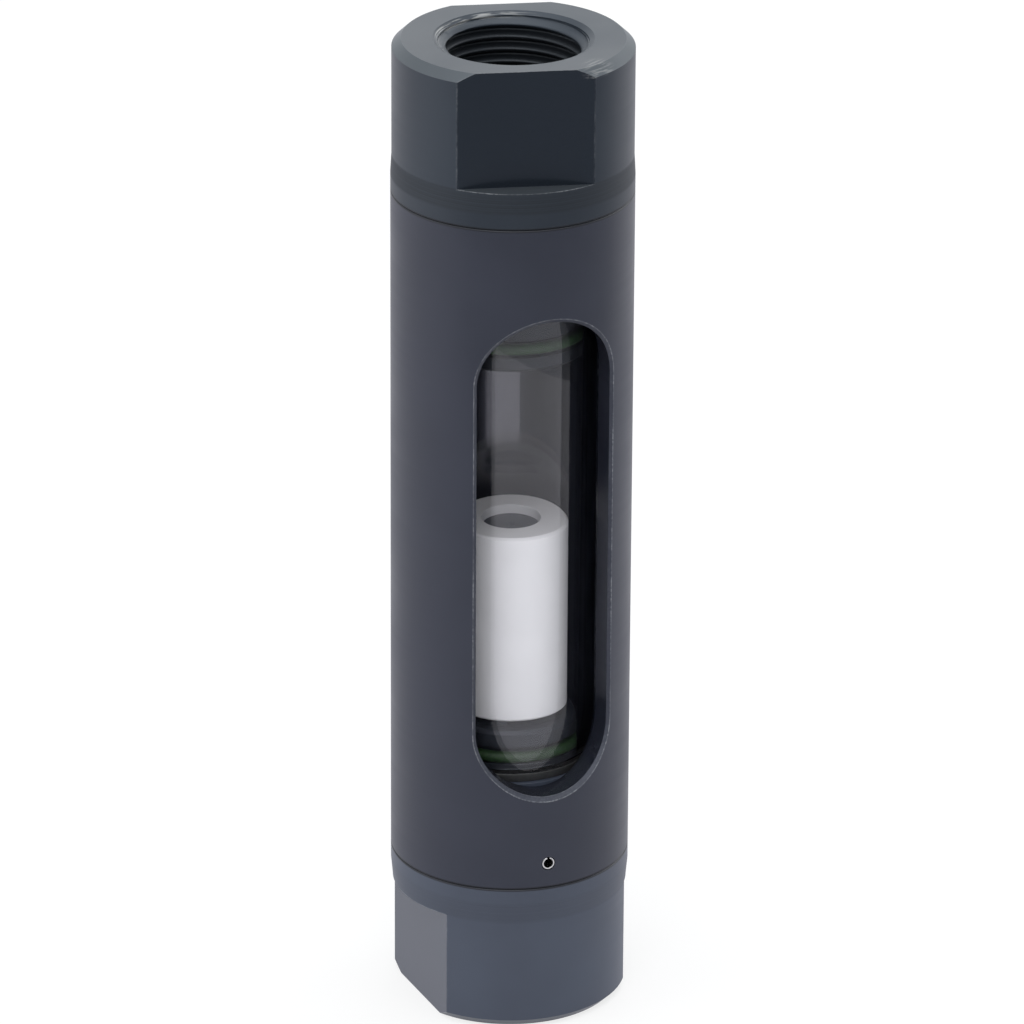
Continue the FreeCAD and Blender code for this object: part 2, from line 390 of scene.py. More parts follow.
class Nodes:
    """Short names for building the nodes of one material or world."""

    def __init__(self, owner, output="ShaderNodeOutputMaterial"):
        owner.use_nodes = True
        self.owner = owner
        self.tree = owner.node_tree
        self.tree.nodes.clear()
        self.output = self.add(output)

    def add(self, kind, **settings):
        node = self.tree.nodes.new(kind)
        for key, value in settings.items():
            setattr(node, key, value)
        return node

    def link(self, source, target):
        self.tree.links.new(source, target)

    def fill(self, socket, value):
        """Give a socket another socket, a colour or a number."""
        if isinstance(value, bpy.types.NodeSocket):
            self.link(value, socket)
        elif isinstance(value, tuple):
            socket.default_value = (*value, 1.0)
        else:
            socket.default_value = value

    def math(self, operation, *values, clamp=False):
        node = self.add("ShaderNodeMath", operation=operation, use_clamp=clamp)
        for socket, value in zip(node.inputs, values):
            self.fill(socket, value)
        return node.outputs[0]

    def product(self, *factors):
        result = factors[0]
        for factor in factors[1:]:
            result = self.math("MULTIPLY", result, factor)
        return result

    def largest(self, *values):
        result = values[0]
        for value in values[1:]:
            result = self.math("MAXIMUM", result, value)
        return result

    def length(self, first, second):
        """Length of a line with these two legs."""
        squares = self.math("MULTIPLY", first, first)
        return self.math("SQRT", self.math("MULTIPLY_ADD", second, second, squares))

    def place(self):
        """The object's own coordinates, which are the CAD frame's, in metres."""
        return self.add("ShaderNodeTexCoord").outputs["Object"]

    def split(self, vector):
        node = self.add("ShaderNodeSeparateXYZ")
        self.link(vector, node.inputs[0])
        return node.outputs

    def joined(self, *axes):
        node = self.add("ShaderNodeCombineXYZ")
        for socket, axis in zip(node.inputs, axes):
            self.link(axis, socket)
        return node.outputs[0]

    def stretched(self, vector, scale):
        node = self.add("ShaderNodeMapping")
        node.inputs["Scale"].default_value = scale
        self.link(vector, node.inputs["Vector"])
        return node.outputs[0]

    def noise(self, vector, scale, detail=2.0, roughness=0.5):
        node = self.add("ShaderNodeTexNoise")
        node.inputs["Scale"].default_value = scale
        node.inputs["Detail"].default_value = detail
        node.inputs["Roughness"].default_value = roughness
        self.link(vector, node.inputs["Vector"])
        return node.outputs["Fac"]

    def spread(self, value, low, high, to_low=0.0, to_high=1.0):
        """Smooth change from one number at low to another at high."""
        node = self.add("ShaderNodeMapRange", interpolation_type="SMOOTHSTEP")
        self.link(value, node.inputs["Value"])
        node.inputs["From Min"].default_value = low
        node.inputs["From Max"].default_value = high
        node.inputs["To Min"].default_value = to_low
        node.inputs["To Max"].default_value = to_high
        return node.outputs[0]

    def past(self, length, low, high, to_low=0.0, to_high=1.0):
        """The same change over a length whose two ends are given in mm."""
        return self.spread(length, low * MM, high * MM, to_low, to_high)

    def near(self, length, target, width):
        """One where a length is at its target, falling to nothing at a width from it (mm)."""
        gap = self.math("ABSOLUTE", self.math("SUBTRACT", length, target * MM))
        return self.past(gap, 0.0, width, 1.0, 0.0)

    def mixed(self, factor, first, second):
        node = self.add("ShaderNodeMix", data_type="RGBA")
        self.link(factor, node.inputs[0])
        self.fill(node.inputs[6], first)
        self.fill(node.inputs[7], second)
        return node.outputs[2]

    def bump(self, height, strength, distance, normal=None):
        node = self.add("ShaderNodeBump")
        node.inputs["Strength"].default_value = strength
        node.inputs["Distance"].default_value = distance
        self.link(height, node.inputs["Height"])
        if normal is not None:
            self.link(normal, node.inputs["Normal"])
        return node.outputs[0]

    def principled(self, **values):
        node = self.add("ShaderNodeBsdfPrincipled")
        for key, value in values.items():
            self.fill(node.inputs[key.replace("_", " ")], value)
        return node.outputs[0]

    def coloured(self, kind, colour):
        """A shader with a colour and nothing else."""
        node = self.add(kind)
        self.fill(node.inputs["Color"], colour)
        return node.outputs[0]

    def blend(self, factor, first, second):
        """Mix of two shaders."""
        node = self.add("ShaderNodeMixShader")
        for socket, source in zip(node.inputs, (factor, first, second)):
            self.link(source, socket)
        return node.outputs[0]

    def finish(self, shader):
        self.link(shader, self.output.inputs["Surface"])
        return self.owner


def new_material(name):
    return Nodes(bpy.data.materials.new(name))


def shaded(colour, share):
    return tuple(share * channel for channel in colour)


# --- Look of the PVC: linear colours, noise scales per metre, bump distances in metres ---
RINGS = (0.0, 0.0, 1.0)  # stretches noise into level rings
RING_NOISE = (2600.0, 3.0, 0.6)  # scale, detail and roughness
GRAIN_NOISE = (4200.0, 2.0)
CLOUD_NOISE = (60.0, 3.0)
CLOUD_SPREAD = (0.3, 0.7)  # the middle part of a noise that becomes nothing to one
BAND_STRETCH = (30.0, 30.0, 900.0)
CUT_NOISE = (4600.0, 4.0, 0.7)  # coarse cuts of the tool
NICK_AND_HIGHLIGHT_NOISE = (2600.0, 3.0, 0.7)
PATCH_NOISE = (220.0, 2.0)  # where the nicks crowd
CUT_SPREAD = (0.35, 0.65, 0.35, 1.0)  # two ends of the noise, and what they become
NICK_AND_HIGHLIGHT_SPREAD = (0.42, 0.6, 0.25, 1.0)
PATCH_SPREAD = (0.35, 0.62, 0.3, 1.0)
STREAK_SCALE = 3600.0
STREAK_SPREAD = (0.42, 0.64)
RING_BUMP = (0.25, 0.00001)  # strength and distance
GRAIN_BUMP = (0.15, 0.00001)
CUT_BUMP = (0.5, 0.00002)
PVC_IOR = 1.48
ROUGH_SPREAD = (0.25, 0.75, 0.36, 0.44)
PVC_TINT = (0.86, 0.89, 1.0)
TOP_TINT = (0.84, 0.91, 1.0)
BAND_ROUGHER = 0.06
SMOOTHING = 0.9  # share of the rings and grain that drawn and milled faces lack
# Share of the dark colour that each finish has, and what it adds to the roughness; the threads'
# share is a painted shade deeper in the port, and the bore is darker
FINISHES_AND_SHADE = {
    "coarse": (0.35, 0.14), "flats": (0.8, -0.25), "threads": (0.25, 0.08), "bore": (0.6, -0.08),
}
# painted light: a lighter tone on the shelf under each flat and on the head's end chamfer
PAINTED_LIGHT_TONE = (0.060, 0.068, 0.076)
# whitish scrapes, and a painted highlight on the mouth's tool marks
SCRAPE_AND_HIGHLIGHT = (0.36, 0.36, 0.35)
# whitish nicks, and a painted highlight along edges
NICK_AND_HIGHLIGHT = (0.32, 0.33, 0.35)
MOST_NICK_AND_HIGHLIGHT = 0.7
# painted shade: nearly black, standing for the shade deep in the joint grooves
JOINT_SHADE = (0.002, 0.002, 0.003)


def nicked_and_highlighted(n, colour, edges, place):
    """Colour with whitish nicks and a painted edge highlight along a mask of edges."""
    nicks = n.spread(n.noise(place, *NICK_AND_HIGHLIGHT_NOISE), *NICK_AND_HIGHLIGHT_SPREAD)
    patches = n.spread(n.noise(place, *PATCH_NOISE), *PATCH_SPREAD)
    return n.mixed(n.product(nicks, patches, MOST_NICK_AND_HIGHLIGHT, edges), colour, NICK_AND_HIGHLIGHT)


def pvc(name, dark, light, marks=None, tint=PVC_TINT):
    """Satin turned PVC: rings from the tool, faint handling marks and cloudy colour.

    marks(nodes, axes) gives a dictionary of masks, of which any may be missing: "edges" get
    whitish nicks and a painted edge highlight, "joints" a painted shade, the "bore" is drawn,
    "coarse" bands are turned, "flats" are milled, the "threads" get a painted shade deeper
    in the port, the "pale" places a painted light, and the "scraped_and_lit" places whitish
    scrapes with a painted highlight.
    """
    n = new_material(name)
    place = n.place()
    masks = marks(n, n.split(place)) if marks else {}
    rings = n.noise(n.stretched(place, RINGS), *RING_NOISE)
    grain = n.noise(place, *GRAIN_NOISE)
    bands = n.noise(n.stretched(place, BAND_STRETCH), 1.0)
    clouds = n.noise(place, *CLOUD_NOISE)
    colour = n.mixed(n.spread(clouds, *CLOUD_SPREAD), dark, light)
    shine = n.spread(clouds, *ROUGH_SPREAD)
    shine = n.math("MULTIPLY_ADD", bands, BAND_ROUGHER, shine)

    def finished(finish, share):
        shade, rougher = FINISHES_AND_SHADE[finish]
        return (
            n.mixed(share, colour, shaded(dark, shade)),
            n.math("MULTIPLY_ADD", masks[finish], rougher, shine),
        )

    for smooth in ("bore", "flats"):
        if smooth in masks:
            kept = n.math("MULTIPLY_ADD", masks[smooth], -SMOOTHING, 1.0)
            rings, grain = n.product(rings, kept), n.product(grain, kept)
    relief = n.bump(grain, *GRAIN_BUMP, n.bump(rings, *RING_BUMP))
    if "coarse" in masks:
        cuts = n.noise(n.stretched(place, RINGS), *CUT_NOISE)
        lines = n.spread(cuts, *CUT_SPREAD)
        colour, shine = finished("coarse", n.product(lines, masks["coarse"]))
        relief = n.bump(n.product(cuts, masks["coarse"]), *CUT_BUMP, relief)
    # milled flats, and the painted shade down the threads
    for finish in ("flats", "threads"):
        if finish in masks:
            colour, shine = finished(finish, masks[finish])
    # painted light on the shelf and the end chamfer, then scrapes with a painted highlight in the
    # mouth
    for mark, paint in (("pale", PAINTED_LIGHT_TONE), ("scraped_and_lit", SCRAPE_AND_HIGHLIGHT)):
        if mark in masks:
            colour = n.mixed(masks[mark], colour, paint)
    # nicks with a painted edge highlight
    if "edges" in masks:
        colour = nicked_and_highlighted(n, colour, masks["edges"], place)
    if "joints" in masks:
        # painted shade along the joints
        colour = n.mixed(masks["joints"], colour, JOINT_SHADE)
    if "bore" in masks:
        colour, shine = finished("bore", masks["bore"])
    return n.finish(n.principled(
        Base_Color=colour, Roughness=shine, IOR=PVC_IOR, Specular_Tint=tint, Normal=relief
    ))


# --- Marks of use and machining, and painted light and shade: widths in mm, and the strength of each as a share ---
JOINT_WIDTH = 0.42
JOINT_STRENGTH = 2.0  # more than 1 widens the dark middle of the line
# whitish lines round the window: nicks, and a painted highlight where the chamfer's edges catch
# the light
WINDOW_MARKS = {"rim": (0.13, 0.8), "root": (0.10, 0.4), "flank": (0.45, 0.1)}
RIM_NARROWING = 1.011  # the rim's sides lie nearer the middle, as the face is round
WINDOW_FRONT = (-8.0, -8.5)  # the window's marks lie in front of this depth
# wear and the painted edge highlight stay this close to the housing's face
WEAR_AND_HIGHLIGHT_FLOOR = (0.75, 0.6)  # wear stays this close to the housing's face
MILLED_TOP = (0.65, 0.75)  # the milled wall starts this far below it
MILLED_WIDTH = 0.2
BORE_FADE = (0.5, 0.2)  # outside the bore's radius
# whitish lines along the flats' edges and the shelf's outer arc: nicks with a painted edge
# highlight
HEAD_EDGES = {"side": (0.12, 0.25), "face": (0.1, 0.5), "chamfer": (0.1, 0.4)}
FLAT_EDGE_WIDTH = 0.12
FLAT_WIDTH = 0.1
BURR_WIDTH = 0.16
# the shelf and the end chamfer get a painted light
LEDGE_MARK = (0.08, 0.45)
BEVEL_MARK = (0.06, 0.85)
BEVEL_END = 1.25
SHELF_FADE = (0.2, 0.1)
# tool marks in the mouth, whose painted highlight is brightest towards the rear left
MOUTH_INSET = 0.4  # the mouth's tool marks lie this far inside its edge
MOUTH_MARK_WIDTH = 0.7
MOUTH_SLANT = 0.7  # they face the rear left
MOUTH_SHARE = 0.9
MOUTH_STRENGTH = (0.02, 0.75)
MOUTH_TOP = (0.1, 0.2)
MOUTH_BOTTOM = (1.1, 0.9)
STREAK_STRETCH = 0.12
BRUISE_RADIUS = (3.4, 0.8)
BRUISE_DEPTH = (1.5, 1.2)
BRUISE_STRENGTH = 0.34
TOP_BRUISE = (7.6, -14.4)  # where it lies on the upper head
COARSE_LEAD = 0.5  # the coarse turning starts this far before the flare
COARSE_END = (3.6, 3.0)
COARSE_REST = 0.25
THREAD_EDGE = 0.1
THREAD_SHADE_DEPTH = (1.2, 2.6)


def joint_lines(n, height):
    """The two hairline grooves where the heads meet the housing, which get a painted shade."""
    lines = [n.near(height, level, JOINT_WIDTH) for level in (lower_joint, upper_joint)]
    return n.math("MINIMUM", n.product(n.largest(*lines), JOINT_STRENGTH), 1.0)


def housing_marks(n, axes):
    """The window's rim, with nicks and a painted edge highlight, its milled wall, the joints'
    painted shade and the smooth bore.
    """
    across, depth, height = axes
    radius = n.length(across, depth)
    middle = (window_low + window_high) / 2
    half = (window_high - window_low - WINDOW_WIDTH) / 2
    from_middle = n.math("ABSOLUTE", n.math("SUBTRACT", height, middle * MM))
    beyond = n.math("MAXIMUM", n.math("SUBTRACT", from_middle, half * MM), 0.0)
    reach = n.length(n.product(across, RIM_NARROWING), beyond)
    front = n.past(depth, *WINDOW_FRONT)
    root_r = WINDOW_WIDTH / 2
    places = {"rim": root_r + WINDOW_BREAK, "root": root_r, "flank": root_r + WINDOW_BREAK / 2}
    lines = []
    for mark, (width, strength) in WINDOW_MARKS.items():
        lines.append(n.product(n.near(reach, places[mark], width), strength))
    outside = n.past(radius, *(body_r - inset for inset in WEAR_AND_HIGHLIGHT_FLOOR))
    wall = n.past(radius, *(body_r - inset for inset in MILLED_TOP))
    return {
        "edges": n.product(n.largest(*lines), front, outside),
        "joints": joint_lines(n, height),
        "bore": n.past(radius, *(HOUSING_BORE_R + fade for fade in BORE_FADE)),
        "flats": n.product(n.near(reach, root_r, MILLED_WIDTH), front, wall),
    }


def head_marks(end, inward, head_r, turn, coarseness, bruise=None):
    """Marks of one head, whose port opens at the height end and which runs inward from it."""

    def marks(n, axes):
        across, depth, height = axes
        radius = n.length(across, depth)
        side = n.product(across, -math.sin(turn))
        level = n.math("ABSOLUTE", n.math("MULTIPLY_ADD", depth, math.cos(turn), side))
        inside = n.math("MULTIPLY_ADD", height, inward, -inward * end * MM)
        slope = (END_FACE_R - head_r) / END_CHAMFER
        chamfer = n.math("MULTIPLY_ADD", inside, slope, radius)
        before_shelf = n.past(inside, *(flat_length + fade for fade in SHELF_FADE))
        cut_away = n.past(level, FLAT_R, FLAT_R + FLAT_WIDTH)

        places = {
            "side": (radius, head_r), "face": (inside, 0.0), "chamfer": (chamfer, END_FACE_R),
        }
        lines = []
        for edge, (width, strength) in HEAD_EDGES.items():
            lines.append(n.product(n.near(*places[edge], width), strength))
        # nicks with a painted edge highlight along the flats' edges and the shelf's outer arc
        on_flat = n.near(level, FLAT_R, FLAT_EDGE_WIDTH)
        flat_edges = n.product(on_flat, n.largest(*lines), before_shelf)
        at_side = n.near(radius, head_r, BURR_WIDTH)
        burr = n.product(at_side, n.near(inside, flat_length, BURR_WIDTH), cut_away)

        # painted light on the shelf and the end chamfer
        width, strength = LEDGE_MARK
        ledge = n.product(n.near(inside, flat_length, width), cut_away, strength)
        width, strength = BEVEL_MARK
        bevel = n.product(n.near(chamfer, END_FACE_R, width), strength)
        bevel = n.product(bevel, n.past(inside, BEVEL_END, END_CHAMFER))

        streaks = n.joined(radius, height, n.product(across, STREAK_STRETCH))
        streaks = n.spread(n.noise(streaks, STREAK_SCALE), *STREAK_SPREAD)
        # tool marks in the mouth with a painted highlight, stronger towards the rear left
        in_mouth = n.near(radius, MOUTH_R - MOUTH_INSET, MOUTH_MARK_WIDTH)
        aslant = n.product(across, -MOUTH_SLANT)
        aslant = n.math("MULTIPLY_ADD", depth, MOUTH_SLANT, aslant)
        lit = n.past(aslant, 0.0, MOUTH_SHARE * MOUTH_R, *MOUTH_STRENGTH)
        in_lip = n.product(n.past(inside, *MOUTH_TOP), n.past(inside, *MOUTH_BOTTOM))
        scraped_and_lit = n.product(in_mouth, streaks, lit, in_lip)
        if bruise:
            aside = n.math("SUBTRACT", across, bruise[0] * MM)
            ahead = n.math("SUBTRACT", depth, bruise[1] * MM)
            spot = n.past(n.length(aside, ahead), *BRUISE_RADIUS)
            shallow = n.past(inside, *BRUISE_DEPTH, 0.0, BRUISE_STRENGTH)
            scraped_and_lit = n.largest(scraped_and_lit, n.product(spot, streaks, shallow))

        start = head_end - COARSE_LEAD
        coarse_start = n.past(inside, start, head_end)
        coarse_end = n.past(inside, *(start + fade for fade in COARSE_END), COARSE_REST)
        in_thread = n.past(radius, PORT_MAJOR_R + THREAD_EDGE, PORT_MAJOR_R)
        return {
            "edges": n.largest(flat_edges, burr),
            "joints": joint_lines(n, height),
            "coarse": n.product(coarse_start, coarse_end, coarseness),
            "flats": n.product(n.near(level, FLAT_R, FLAT_WIDTH), before_shelf),
            # painted shade: the threads darken deeper in the port
            "threads": n.product(in_thread, n.past(inside, *THREAD_SHADE_DEPTH)),
            "pale": n.largest(ledge, bevel),
            "scraped_and_lit": scraped_and_lit,
        }

    return marks


housing_pvc = pvc("housing_pvc", (0.014, 0.016, 0.025), (0.018, 0.020, 0.031), housing_marks)
top_pvc = pvc(
    "top_connector_pvc", (0.009, 0.013, 0.020), (0.013, 0.018, 0.026),
    head_marks(total_height, -1, TOP_HEAD_R, TOP_FLATS_TURN, coarseness=1.0, bruise=TOP_BRUISE),
    TOP_TINT,
)
# painted light: the lower head is the same PVC as the upper, with a base colour about four times
# lighter that stands for the floor's light near the base
bottom_pvc = pvc(
    "bottom_connector_pvc", (0.040, 0.048, 0.068), (0.047, 0.057, 0.080),
    head_marks(0, 1, BOTTOM_HEAD_R, BOTTOM_FLATS_TURN, coarseness=0.3),
)
plug_grey = pvc("plug_grey", (0.055, 0.060, 0.072), (0.065, 0.070, 0.084))
stop_grey = pvc("stop_grey", (0.022, 0.027, 0.036), (0.027, 0.032, 0.042))

# --- Other materials ---


def ptfe():
    """White, slightly waxy plastic with fine turning rings."""
    n = new_material("float_ptfe")
    place = n.place()
    rings = n.noise(n.stretched(place, RINGS), 3200.0)
    clouds = n.noise(place, 140.0, 3.0)
    share = n.spread(clouds, *CLOUD_SPREAD)
    colour = n.mixed(share, (0.79, 0.78, 0.78), (0.83, 0.82, 0.82))
    relief = n.bump(rings, 0.2, 0.00001)
    return n.finish(n.principled(Base_Color=colour, Roughness=0.45, IOR=1.38, Normal=relief))


def glass():
    """Clear glass that bends what is seen through it and lets the lamps' light pass straight."""
    n = new_material("tube_glass")
    bent = n.principled(
        Base_Color=(0.978, 0.976, 0.994), Roughness=0.0, IOR=1.47, Transmission_Weight=1.0
    )
    straight = n.coloured("ShaderNodeBsdfTransparent", (0.945, 0.943, 0.955))
    path = n.add("ShaderNodeLightPath").outputs
    lighting = n.math("ADD", path["Is Shadow Ray"], path["Is Diffuse Ray"], clamp=True)
    return n.finish(n.blend(lighting, bent, straight))


def rubber(name, colour, lighter):
    n = new_material(name)
    grain = n.noise(n.place(), 2500.0, 3.0)
    mixed = n.mixed(n.spread(grain, 0.35, 0.65), colour, lighter)
    relief = n.bump(grain, 0.2, 0.00002)
    return n.finish(n.principled(Base_Color=mixed, Roughness=0.6, IOR=1.5, Normal=relief))


def steel(name, colour, rough):
    n = new_material(name)
    streaks = n.noise(n.stretched(n.place(), (1.0, 0.1, 1.0)), 5000.0)
    shade = n.mixed(n.spread(streaks, *CLOUD_SPREAD), colour, shaded(colour, 0.8))
    return n.finish(n.principled(Base_Color=shade, Metallic=1.0, Roughness=rough))


float_white = ptfe()
tube_clear = glass()
gasket_black = rubber("gasket_black", (0.012, 0.012, 0.013), (0.018, 0.018, 0.019))
ring_green = rubber("ring_green", (0.006, 0.028, 0.004), (0.010, 0.040, 0.006))
magnet_steel = steel("magnet_steel", (0.35, 0.35, 0.36), 0.4)
pin_steel = steel("pin_steel", (0.62, 0.61, 0.6), 0.25)

# --- Housing ---


def housing_mesh():
    counter_r = THREAD_R + THREAD_GAP
    profile = [
        (counter_r, lower_joint),
        (body_r - EDGE_BREAK, lower_joint),
        (body_r, lower_joint + EDGE_BREAK),
        (body_r, upper_joint - EDGE_BREAK),
        (body_r - EDGE_BREAK, upper_joint),
        (counter_r, upper_joint),
        (counter_r, upper_joint - COUNTER_LENGTH),
        (HOUSING_BORE_R, upper_joint - COUNTER_LENGTH),
        (HOUSING_BORE_R, lower_joint + COUNTER_LENGTH),
        (counter_r, lower_joint + COUNTER_LENGTH),
    ]
    blank = grid_mesh("housing_blank", turned_rows(eased(profile, HOUSING_EASE), SHELL_STEPS))
    outline = obround(WINDOW_WIDTH, window_low, window_high)
    flat_outline = [(x, z) for x, z, _, _ in outline]
    window = prism_mesh("window_cutter", flat_outline, -2 * body_r, 0, (0, 2, 1))
    return cut(blank, [window, window_chamfer(outline), pin_cutter(-2 * body_r, 0)])


new_piece("housing_shell", housing_mesh(), housing_pvc, "meter", "housing")

# --- Connectors ---

# Rounded thread form over one pitch: share of the pitch, and share of the thread's depth
THREAD_SHAPE = (
    (0.00, 0.00), (0.05, 0.01), (0.10, 0.06), (0.15, 0.16),
    (0.25, 0.50), (0.35, 0.84), (0.40, 0.94), (0.45, 0.99),
    (0.50, 1.00), (0.55, 0.99), (0.60, 0.94), (0.65, 0.84),
    (0.75, 0.50), (0.85, 0.16), (0.90, 0.06), (0.95, 0.01),
)


def thread_rows(steps):
    """Rows of the port's wall from the mouth down: chamfer, short lead, then the helix."""
    angles, cosines, sines = round_angles(steps)
    shares = [share for share, _ in THREAD_SHAPE] + [1.0]
    rises = [rise for _, rise in THREAD_SHAPE] + [THREAD_SHAPE[0][1]]
    turns = math.ceil(PORT_DEPTH / THREAD_PITCH) + 1
    level_rows = (0, MOUTH_DEPTH, LEAD_DEPTH, PORT_DEPTH)
    depths = [np.full(steps + 1, depth) for depth in level_rows]
    for turn in range(-1, turns + 1):
        for share, _ in THREAD_SHAPE:
            depths.append(THREAD_PITCH * (turn + share - THREAD_START + angles / TURN))
    depths = np.sort(np.clip(depths, 0, PORT_DEPTH), axis=0)
    phase = np.mod(depths / THREAD_PITCH - angles / TURN + THREAD_START, 1.0)
    thread = PORT_MINOR_R + (PORT_MAJOR_R - PORT_MINOR_R) * np.interp(phase, shares, rises)
    chamfer = MOUTH_R - depths * (MOUTH_R - PORT_MAJOR_R) / MOUTH_DEPTH
    lead = np.where(depths < LEAD_DEPTH + TINY, PORT_MAJOR_R, 0)
    radius = np.maximum(thread, np.maximum(chamfer, lead))
    return list(np.stack([radius * cosines, radius * sines, depths], axis=-1))


def connector_mesh(name, head_r, spigot_r, levels, flats_turn, pinned):
    """One connector with its port down at height 0.

    levels are the heights in the frame of its nose, its ring and its spigot's end.
    """
    joint = lower_joint
    nose = joint + NOSE_END
    nose_level, ring_level, end_level = levels
    ring = nose + abs(ring_level - nose_level)
    end = nose + abs(end_level - nose_level)
    half_groove = (CORD_D + GROOVE_SPARE) / 2
    groove = groove_r(ring_level)
    drill_depth = (PORT_MINOR_R - passage_r) / math.tan(DRILL_ANGLE / 2)
    profile = [
        (MOUTH_R, 0),
        (END_FACE_R, 0),
        (head_r, END_CHAMFER),
        (head_r, head_end),
        (body_r, joint - BAND_LENGTH),
        (body_r, joint - EDGE_BREAK),
        (body_r - EDGE_BREAK, joint),
        (THREAD_R, joint),
        (THREAD_R, joint + SHANK_LENGTH),
        (NOSE_R, joint + SHANK_LENGTH),
        (NOSE_R, nose),
        (spigot_r, nose),
        (spigot_r, ring - half_groove),
        (groove, ring - half_groove),
        (groove, ring + half_groove),
        (spigot_r, ring + half_groove),
        (spigot_r, end - SPIGOT_LEAD),
        (spigot_r - SPIGOT_LEAD, end),
        (seat_r, end),
        (seat_r, end - STOP_DEPTH),
        (passage_r, end - STOP_DEPTH),
        (passage_r, PORT_DEPTH + drill_depth),
        (PORT_MINOR_R, PORT_DEPTH),
    ]
    rows = turned_rows(eased(profile, CONNECTOR_EASE, closed=False), STEPS)
    rows += thread_rows(STEPS)[::-1]
    blank = grid_mesh(name + "_blank", rows)
    cutters = []
    far = 2 * body_r
    for side in (-1, 1):
        corners = [(-far, side * FLAT_R), (far, side * FLAT_R)]
        corners += [(far, side * far), (-far, side * far)]
        cutter = prism_mesh("flat_cutter", corners, -flat_length, flat_length, (0, 1, 2))
        cutter.transform(Matrix.Rotation(flats_turn, 4, "Z"))
        cutters.append(cutter)
    if pinned:
        cutters.append(pin_cutter(-far, pin_high.y + PIN_HOLE_SPARE))
    return cut(blank, cutters)


bottom_mesh = connector_mesh(
    "bottom", BOTTOM_HEAD_R, lower_spigot_r, (lower_nose, lower_ring, lower_spigot_end),
    BOTTOM_FLATS_TURN, pinned=True,
)
new_piece(
    "connector_bottom", bottom_mesh, bottom_pvc, "meter", "bottom_connector"
)
top_mesh = connector_mesh(
    "top", TOP_HEAD_R, upper_spigot_r, (upper_nose, upper_ring, upper_spigot_end),
    -TOP_FLATS_TURN, pinned=False,
)
top_mesh.transform(
    Matrix.Translation((0, 0, total_height * MM)) @ Matrix.Rotation(math.pi, 4, "Y")
)
new_piece("connector_top", top_mesh, top_pvc, "meter", "top_connector")

# --- Sight tube, gaskets and rings ---

turned_piece("tube", eased([
    (tube_bore_r(tube_low.z), tube_low.z),
    (tube_r, tube_low.z),
    (tube_r, tube_high.z),
    (tube_bore_r(tube_high.z), tube_high.z),
], TUBE_EDGE_BREAK, TUBE_EASE_STEPS), tube_clear, "meter", "sight_tube", SHELL_STEPS)

for side, spigot_r in (("lower", lower_spigot_r), ("upper", upper_spigot_r)):
    low, high = box_mm(side + "_tube_gasket")
    turned_piece("gasket_" + side, eased([
        (spigot_r + GASKET_GAP, low.z),
        (high.x, low.z),
        (high.x, high.z),
        (spigot_r + GASKET_GAP, high.z),
    ], GASKET_EASE), gasket_black, "meter", side + "_tube_gasket")


def squeezed_ring(inner, outer, low, high):
    """Outline of a cord flattened between the groove's floor and the tube."""
    profile = []
    for step in range(RING_STEPS):
        angle = TURN * step / RING_STEPS
        cosine, sine = math.cos(angle), math.sin(angle)
        reach = (abs(cosine) ** RING_POWER + abs(sine) ** RING_POWER) ** (-1 / RING_POWER)
        radius = (inner + outer) / 2 + reach * cosine * (outer - inner) / 2
        height = (low + high) / 2 + reach * sine * (high - low) / 2
        profile.append((radius, height))
    return profile


for side, ring_z in (("lower", lower_ring), ("upper", upper_ring)):
    inner = groove_r(ring_z) + RING_GAP
    outer = tube_bore_r(ring_z) - RING_GAP
    low, high = (ring_z - RING_SAG[side] + way * RING_HEIGHT / 2 for way in (-1, 1))
    ring = squeezed_ring(inner, outer, low, high)
    turned_piece("o_ring_" + side, ring, ring_green, "meter", side + "_o_ring")

# --- Float ---

turned_piece("float_sleeve", eased([
    (0, float_low.z),
    (float_r - FLOAT_CHAMFER, float_low.z),
    (float_r, float_low.z + FLOAT_CHAMFER),
    (float_r, float_high.z - FLOAT_CHAMFER),
    (float_r - FLOAT_CHAMFER, float_high.z),
    (core_r, float_high.z),
    (core_r, magnet_low.z),
    (0, magnet_low.z),
], FLOAT_EASE), float_white, "float", "float_body")

turned_piece("float_cap", eased([
    (0, plug_low.z),
    (plug_r, plug_low.z),
    (plug_r, plug_high.z),
    (CENTRE_MARK_R, plug_high.z),
    (0, plug_high.z - CENTRE_MARK_R / 2),
], PLUG_EASE), plug_grey, "float", "float_plug")

# --- Spring pin ---


def pin_mesh():
    """Slotted tube along Y, open at the top."""
    outline = eased([
        (pin_r - PIN_WALL, pin_low.y),
        (pin_r - PIN_CHAMFER, pin_low.y),
        (pin_r, pin_low.y + PIN_CHAMFER),
        (pin_r, pin_high.y - PIN_CHAMFER),
        (pin_r - PIN_CHAMFER, pin_high.y),
        (pin_r - PIN_WALL, pin_high.y),
    ], PIN_EASE)
    half_gap = math.asin(PIN_SLOT / 2 / pin_r)
    points = []
    for angle in np.linspace(half_gap, TURN - half_gap, PIN_STEPS):
        for radius, along in outline:
            x, z = radius * math.sin(angle), pin_z + radius * math.cos(angle)
            points.append((x * MM, along * MM, z * MM))
    count = len(outline)
    faces = []
    for column in range(PIN_STEPS - 1):
        for face in band_faces(count):
            faces.append([column * count + index for index in face])
    faces += [list(range(count)), list(range((PIN_STEPS - 1) * count, PIN_STEPS * count))]
    return mesh_of("pin", points, faces)


new_piece("locking_pin", pin_mesh(), pin_steel, "meter", "spring_pin")

# --- CAD nodes that stay ---

for node, material in (
    ("upper_float_stop", stop_grey),
    ("lower_float_stop", stop_grey),
    ("float_magnet", magnet_steel),
):
    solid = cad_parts[node].data
    solid.materials.clear()
    solid.materials.append(material)

